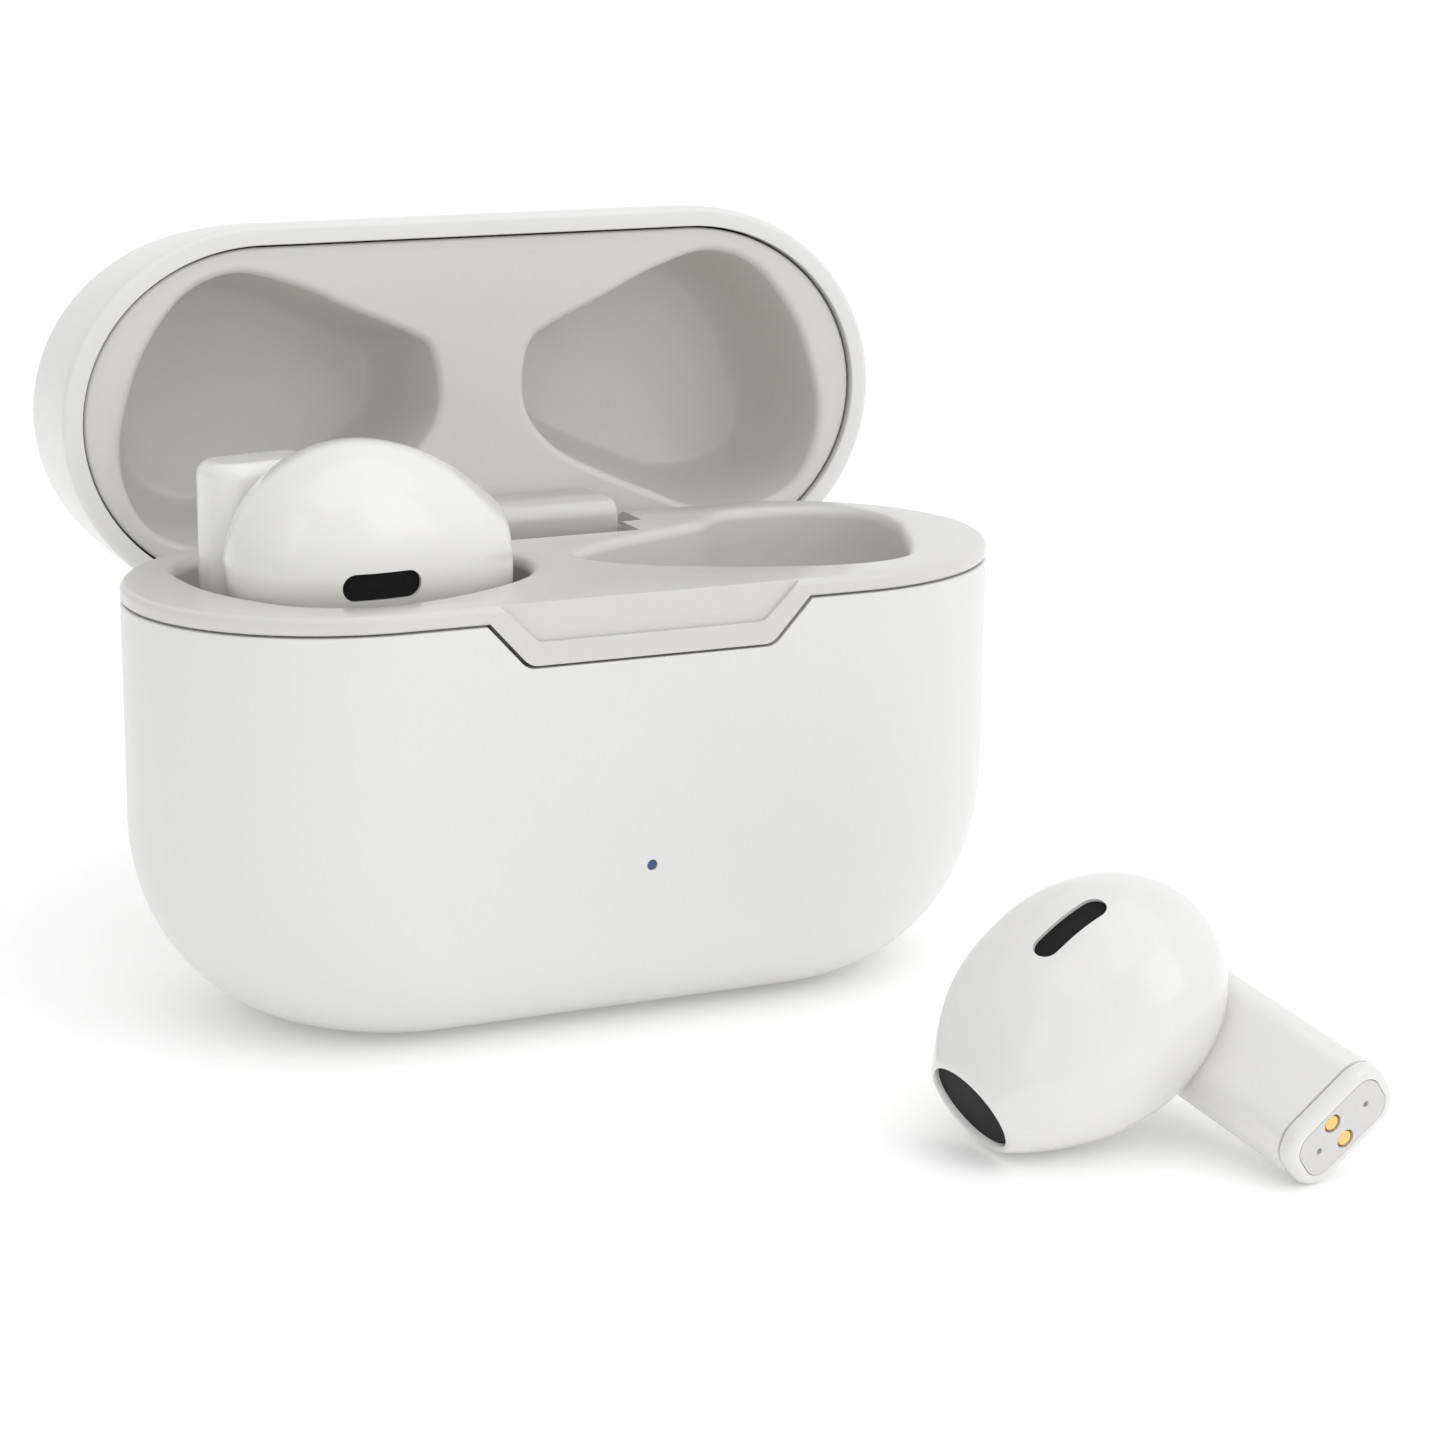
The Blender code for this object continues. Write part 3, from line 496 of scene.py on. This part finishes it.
def contact_spot(k):
    """The middle of the front (-1) or back (1) contact."""
    return STEM_AT[0] + CONTACT_X - CONTACT_SLANT * k, STEM_AT[1] + CONTACT_Y * k


def stem_well(side, extra):
    turn = math.radians(DOCKED_TURN) * -side
    ring = rounded(WELL_HALF[0] + extra, WELL_HALF[1] + extra, WELL_CORNER + extra)
    return moved(ring, *docked_point(side, *STEM_AT), turn)


def make_frame():
    foot, edge = 0.12, 0.5
    plate = [(obround(HALF_W - foot, HALF_D - foot), SEAM_Z), (obround(HALF_W, HALF_D), SEAM_Z + foot)]
    for a in quarter_turn(8):
        inset = edge * (1 - math.cos(a))
        plate.append((obround(HALF_W - inset, HALF_D - inset), FRAME_TOP - edge + edge * math.sin(a)))
    skirt = WALL + 0.25
    inner = skirt + 1.1
    tab = (NOTCH_TOP - TAB_PLAY, NOTCH_FOOT - TAB_PLAY, SEAM_Z + 0.5, NOTCH_FLOOR + TAB_PLAY)
    steps = [
        ("UNION", prism(obround(HALF_W - skirt, HALF_D - skirt), 24.6, SEAM_Z + 0.5)),
        ("UNION", trapezoid(*tab, -HALF_D, -10.4, corner=1.2)),
        ("DIFFERENCE", prism(obround(HALF_W - inner, HALF_D - inner), 20, 27.9)),
    ]
    sockets = [(-1, smooth_ring(LEFT_SOCKET)), (1, smooth_ring(RIGHT_SOCKET))]
    for side, ring in sockets:
        steps.append(("UNION", stack("bowl", [(scaled(ring, size), z) for z, size in SOCKET_WALL])))
        steps.append(("UNION", prism(stem_well(side, WELL_WALL), WELL_FOOT, 26)))
    for side, ring in sockets:
        steps.append(("DIFFERENCE", stack("room", socket_levels(ring))))
        well = [(stem_well(side, extra), z) for z, extra in WELL_LEVELS]
        steps.append(("DIFFERENCE", stack("well", well)))
        for k in (-1, 1):
            x, y = docked_point(side, *contact_spot(k))
            steps.append(("DIFFERENCE", rod(PIN_HOLE_R, (x, y, 10), (x, y, 16), 24)))
    dish = (DISH_TOP, DISH_FOOT, FRAME_TOP + 0.9, DISH_FLOOR)
    steps += [
        ("DIFFERENCE", trapezoid(*dish, -OUTSIDE, -HALF_D + 0.3, corner=1.0)),
        ("DIFFERENCE", hinge_cut(HINGE_ROOM, 20, OUTSIDE)),
        ("DIFFERENCE", hinge_cut(ARM_ROOM, 20, 9.5)),
        ("DIFFERENCE", swing_tool()),
    ]
    mesh = boolean(stack("insert", plate), steps)
    show("socket_insert", mesh, GREY, "case", ["inner_frame"], soften=0.12)


def swing_tool():
    """The room behind the hinge that the lid's back edge swings through."""
    front = HINGE_Y - 0.01
    ring = [(front, HINGE_Z + SWING_R)]
    for k in range(25):
        a = k / 24 * math.radians(75)
        ring.append((HINGE_Y + SWING_R * math.sin(a), HINGE_Z + SWING_R * math.cos(a)))
    ring += [(HINGE_Y + 5, HINGE_Z + 1), (HINGE_Y + 5, HINGE_Z + 6), (front, HINGE_Z + 6)]
    return loft("swing", [[(x, y, z) for y, z in ring] for x in (-40, 40)])


# ---------------------------------------------------------------- lid


def lid_levels(inset, count=20):
    """The lid's outline from low on its wall up to its top."""
    levels = []
    ups = [LID_SIDE_ROUND[1] * (1 - math.cos(a)) for a in quarter_turn(count)]
    for up in ups + [8.0, 10.0, 12.5]:
        half_w = HALF_W - stand_back(up, LID_SIDE_ROUND)
        half_d = HALF_D - stand_back(up, LID_FRONT_ROUND)
        z = LID_TOP - inset - up * (1 - inset / LID_HEIGHT)
        levels.append((obround(half_w - inset, half_d - inset), z))
    return levels[::-1]


def opened(mesh):
    """A mesh drawn with the lid closed, turned about the hinge to where the lid stands."""
    at = Matrix.Translation(Vector((0, HINGE_Y, HINGE_Z)) * MM)
    mesh.transform(at @ Matrix.Rotation(math.radians(-OPEN_ANGLE), 4, "X") @ at.inverted())
    return mesh


def make_lid_cover():
    rim = []
    for a in quarter_turn(6):
        inset = LID_EDGE * (1 - math.sin(a))
        rim.append((obround(HALF_W - inset, HALF_D - inset), LID_Z + LID_EDGE * (1 - math.cos(a))))
    mouth = [(obround(HALF_W - LID_WALL, HALF_D - LID_WALL), LID_Z - 2)]
    outer = stack("lid_body", rim + lid_levels(0.0))
    inner = stack("hollow", mouth + lid_levels(LID_WALL))
    show("lid_cover", opened(cut(outer, inner)), WHITE, "lid", ["lid_shell"], soften=0.1)


def make_lid_liner():
    half_w, half_d = LINER_HALF
    plate = []
    for a in quarter_turn(4):
        inset = LINER_EDGE * (1 - math.sin(a))
        z = LINER_Z + LINER_EDGE * (1 - math.cos(a))
        plate.append((obround(half_w - inset, half_d - inset), z))
    plate.append((obround(half_w - 0.3, half_d - 0.3), LINER_Z + 1.2))
    rings = [[(side * x, y) for x, y in smooth_ring(LID_HOLLOW)] for side in (1, -1)]
    steps = []
    for ring in rings:
        steps.append(("UNION", stack("cup", [(scaled(ring, size), z) for z, size in HOLLOW_WALL])))
    for ring in rings:
        room = [(grow(ring, 0.8), LINER_Z - 0.5)]
        room += rounded_mouth(ring, LINER_Z, HOLLOW_ROUND, -1, 5)
        room += [(scaled(ring, size), z) for z, size in HOLLOW_ROOM]
        steps.append(("DIFFERENCE", stack("room", room)))
    liner = opened(boolean(stack("liner", plate), steps))
    show("lid_insert", liner, GREY, "lid", ["lid_liner"], soften=0.1)


def make_hinge_bar():
    """The bar's section, measured from the hinge's axis, carried from side to side."""
    front, foot, back, top, step, r = -4.9, -2.4, 1.9, 3.8, 3.35, 1.2
    ring = [(0.2, top), (front + 0.5, top), (front + 0.15, top - 0.15), (front, top - 0.5)]
    for a in quarter_turn(18):
        ring.append((front + r + r * math.cos(PI + a), foot + r + r * math.sin(PI + a)))
    ring += [(back - 0.6, foot), (back, foot + 0.6), (back, step), (0.2, step)]
    ends = (-ARM_HALF, ARM_HALF)
    bar = loft("bar", [[(x, y + HINGE_Y, z + HINGE_Z) for y, z in ring] for x in ends])
    bar = opened(cut(bar, rod(PIN_BORE, (-10, HINGE_Y, HINGE_Z), (10, HINGE_Y, HINGE_Z))))
    show("hinge_bar", bar, GREY, "lid", ["hinge_arm"], soften=0.35, angle=50.0)


# ---------------------------------------------------------------- earbuds


def egg(x, half_y, half_z, mid_y, mid_z, lean, count):
    """An ellipse across the head's axis, leaning forwards on its +Y side."""
    ring = []
    for n in range(count):
        a = 2 * PI * n / count
        across = half_y * math.cos(a)
        ring.append((x + lean * across, mid_y + across, mid_z + half_z * math.sin(a)))
    return ring


def head_rings(inset, count=72, steps=26):
    """The head from its round back, over its widest ring, to the nozzle's mouth."""
    rings = []
    for a in quarter_turn(steps)[1:]:
        size = math.sin(a)
        x = -(HEAD_BACK - inset) * math.cos(a)
        rings.append(egg(x, (HEAD_Y - inset) * size, (HEAD_Z - inset) * size, 0, 0, 0, count))
    for k in range(1, steps + 1):
        t = k / steps * 0.985
        fall = 1 - t**NOZZLE_POWER
        half_y = NOZZLE_R[0] + (HEAD_Y - NOZZLE_R[0]) * fall - inset
        half_z = NOZZLE_R[1] + (HEAD_Z - NOZZLE_R[1]) * fall - inset
        mid_y, mid_z = NOZZLE_SHIFT[0] * t**1.5, NOZZLE_SHIFT[1] * t**1.5
        rings.append(egg(t * NOZZLE_X, half_y, half_z, mid_y, mid_z, NOZZLE_LEAN * t**3, count))
    return rings


def nozzle_ring(shrink, x, count=72):
    return egg(x, NOZZLE_R[0] - shrink, NOZZLE_R[1] - shrink, *NOZZLE_SHIFT, NOZZLE_LEAN, count)


def slot_prism(by, front, back):
    ring = rounded(SLOT_SIZE[0] / 2 + by, SLOT_SIZE[1] / 2 + by, SLOT_SIZE[1] / 2 + by - 0.02, 10)
    return loft("slot", [[(x + SLOT_MID[0], y, z + SLOT_MID[1]) for x, z in ring] for y in (front, back)])


def stem_ring(shrink):
    corner = max(STEM_CORNER - shrink, 0.3)
    return moved(rounded(STEM_HALF[0] - shrink, STEM_HALF[1] - shrink, corner), *STEM_AT)


def head_mesh():
    lip = ((0.05, 0.03), (0.13, 0.0), (0.22, 0.03), (0.28, 0.12), (0.3, 0.25), (0.3, 0.5))
    rings = head_rings(0.0) + [nozzle_ring(shrink, NOZZLE_X - back) for shrink, back in lip]
    return cut(loft("head", rings), slot_prism(0.0, -12, -HEAD_Y + 1.3))


def mouth_mesh():
    return loft("mouth_mesh", [nozzle_ring(0.32, NOZZLE_X - back) for back in (0.47, 0.38)])


def slot_mesh():
    inside = loft("in", head_rings(0.22, 60, 20))
    return boolean(slot_prism(-0.02, -12, -HEAD_Y + 1.25), [("INTERSECT", inside)])


def stem_mesh():
    top, seam = 1.0, STEM_END + CAP_H
    levels = [(stem_ring(0.12), seam + 0.12), (stem_ring(0.03), seam + 0.16), (stem_ring(0.0), seam + 0.26)]
    for a in quarter_turn(7):
        levels.append((stem_ring(top * (1 - math.cos(a))), STEM_TOP - top + top * math.sin(a)))
    head, hollow = loft("room", head_rings(0.3, 68, 24)), prism(stem_ring(0.9), STEM_END - 1, -9.5)
    return cut(stack("stem", levels), head, hollow)


def cap_mesh():
    edge, seam = 0.5, STEM_END + CAP_H
    levels = []
    for a in quarter_turn(7):
        levels.append((stem_ring(edge * (1 - math.sin(a))), STEM_END + edge * (1 - math.cos(a))))
    levels += [(stem_ring(0.0), seam - 0.1), (stem_ring(0.03), seam), (stem_ring(0.12), seam + 0.03)]
    return cut(stack("cap", levels), prism(stem_ring(0.72), STEM_END - 1, STEM_END + 0.65))


def pad_mesh(k):
    x, y = contact_spot(k)
    return rod(CONTACT_R, (x, y, STEM_END + 0.9), (x, y, STEM_END + 0.1))


def plate_mesh():
    tools = []
    for k in (-1, 1):
        x, y = contact_spot(k)
        tools.append(rod(CONTACT_R + 0.1, (x, y, STEM_END - 1), (x, y, STEM_END + 3)))
        hole = (STEM_AT[0] + k * PLATE_HOLE_X, STEM_AT[1])
        tools.append(rod(PLATE_HOLE_R, (*hole, STEM_END - 1), (*hole, STEM_END + 0.4), 24))
    return cut(prism(stem_ring(0.75), STEM_END + 0.04, STEM_END + 0.55), *tools)


def make_earbud(side, pose, tag):
    """One earbud at its pose: side 1 is the left one as drawn, side -1 its mirror image."""

    def put(name, mesh, mat, node, soften=0.0):
        if side < 0:
            mesh.transform(Matrix.Diagonal((-1, 1, 1, 1)))
            mesh.flip_normals()
        mesh.transform(pose)
        show(f"{tag}_{name}", mesh, mat, f"{tag}_earbud", [f"{tag}_{node}"], soften)

    put("head", head_mesh(), BUD_WHITE, "head_shell", 0.09)
    put("mouth_mesh", mouth_mesh(), MESH, "nozzle_mesh")
    put("slot_mesh", slot_mesh(), MESH, "vent_mesh")
    put("stem", stem_mesh(), BUD_WHITE, "stem_shell", 0.12)
    put("tip", cap_mesh(), BUD_WHITE, "end_cap", 0.12)
    put("pad_front", pad_mesh(-1), GOLD, "contact_front", 0.1)
    put("pad_back", pad_mesh(1), GOLD, "contact_back", 0.1)
    put("tip_plate", plate_mesh(), PALE, "contact_plate", 0.05)


def loose_pose():
    axis_x = Vector(LOOSE_X).normalized()
    axis_y = (Vector(LOOSE_Y) - axis_x * axis_x.dot(Vector(LOOSE_Y))).normalized()
    turn = Matrix((axis_x, axis_y, axis_x.cross(axis_y))).transposed().to_4x4()
    return Matrix.Translation(Vector(LOOSE_AT) * MM) @ turn


def docked_pose():
    return Matrix.Translation(Vector(DOCKED_AT) * MM) @ Matrix.Rotation(math.radians(DOCKED_TURN), 4, "Z")


# ---------------------------------------------------------------- room


def softbox(name, at, aim, size, watts):
    """An area light, with its place and size in metres."""
    data = bpy.data.lights.new(name, "AREA")
    data.shape = "RECTANGLE"
    data.size, data.size_y = size
    data.energy = watts
    obj = bpy.data.objects.new(name, data)
    obj.location = at
    obj.rotation_euler = (Vector(aim) - Vector(at)).to_track_quat("-Z", "Y").to_euler()
    bpy.context.scene.collection.objects.link(obj)


def make_floor():
    """A white sheet, 8 metres square, just under the lowest piece."""
    mesh = bpy.data.meshes.new("floor")
    mesh.from_pydata([(-4, -4, 0), (4, -4, 0), (4, 4, 0), (-4, 4, 0)], [], [(0, 1, 2, 3)])
    floor = bpy.data.objects.new("floor", mesh)
    floor.location.z = -0.05 * MM
    bpy.context.scene.collection.objects.link(floor)
    n = Nodes("paper")
    n.set(Base_Color=(0.93, 0.93, 0.93, 1.0), Roughness=0.9, Specular_IOR_Level=0.0)
    n.set(Emission_Color=(1.0, 1.0, 1.0, 1.0), Emission_Strength=0.15)
    n.bump(n.noise(700.0), 0.02 * MM, 0.1)
    mesh.materials.append(n.mat)


def make_light():
    """A white studio, dimmer towards -X, with three softboxes."""
    world = bpy.data.worlds.new("studio")
    bpy.context.scene.world = world
    world.use_nodes = True
    tree = world.node_tree
    back = tree.nodes["Background"]
    back.inputs["Color"].default_value = (1, 1, 1, 1)
    where = tree.nodes.new("ShaderNodeTexCoord")
    parts = tree.nodes.new("ShaderNodeSeparateXYZ")
    fall = tree.nodes.new("ShaderNodeMapRange")
    for key, value in (("From Min", -1.0), ("From Max", 0.05), ("To Min", 0.56), ("To Max", 1.0)):
        fall.inputs[key].default_value = value
    tree.links.new(where.outputs["Generated"], parts.inputs["Vector"])
    tree.links.new(parts.outputs["X"], fall.inputs["Value"])
    tree.links.new(fall.outputs["Result"], back.inputs["Strength"])
    softbox("top", (0.05, -0.1, 0.6), aim=(0, 0, 0.03), size=(0.7, 0.5), watts=0.55)
    softbox("left", (-0.6, -0.5, 0.45), aim=(0, 0, 0.03), size=(0.25, 0.6), watts=0.25)
    softbox("right", (0.4, -0.6, 0.55), aim=(0, 0, 0.05), size=(0.45, 0.6), watts=0.72)
    bpy.context.scene.view_settings.view_transform = "Standard"


def make_camera():
    data = bpy.data.cameras.new("camera")
    data.sensor_width = 36.0
    data.lens = 84.86
    data.shift_x = 0.0846
    data.shift_y = -0.0274
    data.clip_start = 0.01
    camera = bpy.data.objects.new("camera", data)
    camera.location = Vector((-81.355, -204.226, 75.404)) * MM
    az, el = math.radians(22.22), math.radians(13.89)
    look = Vector((math.sin(az) * math.cos(el), math.cos(az) * math.cos(el), -math.sin(el)))
    camera.rotation_euler = look.to_track_quat("-Z", "Y").to_euler()
    bpy.context.scene.collection.objects.link(camera)
    bpy.context.scene.camera = camera


dress_cad()
make_shell()
make_frame()
make_lid_cover()
make_lid_liner()
make_hinge_bar()
make_earbud(1, docked_pose(), "left")
make_earbud(-1, loose_pose(), "right")
make_floor()
make_light()
make_camera()
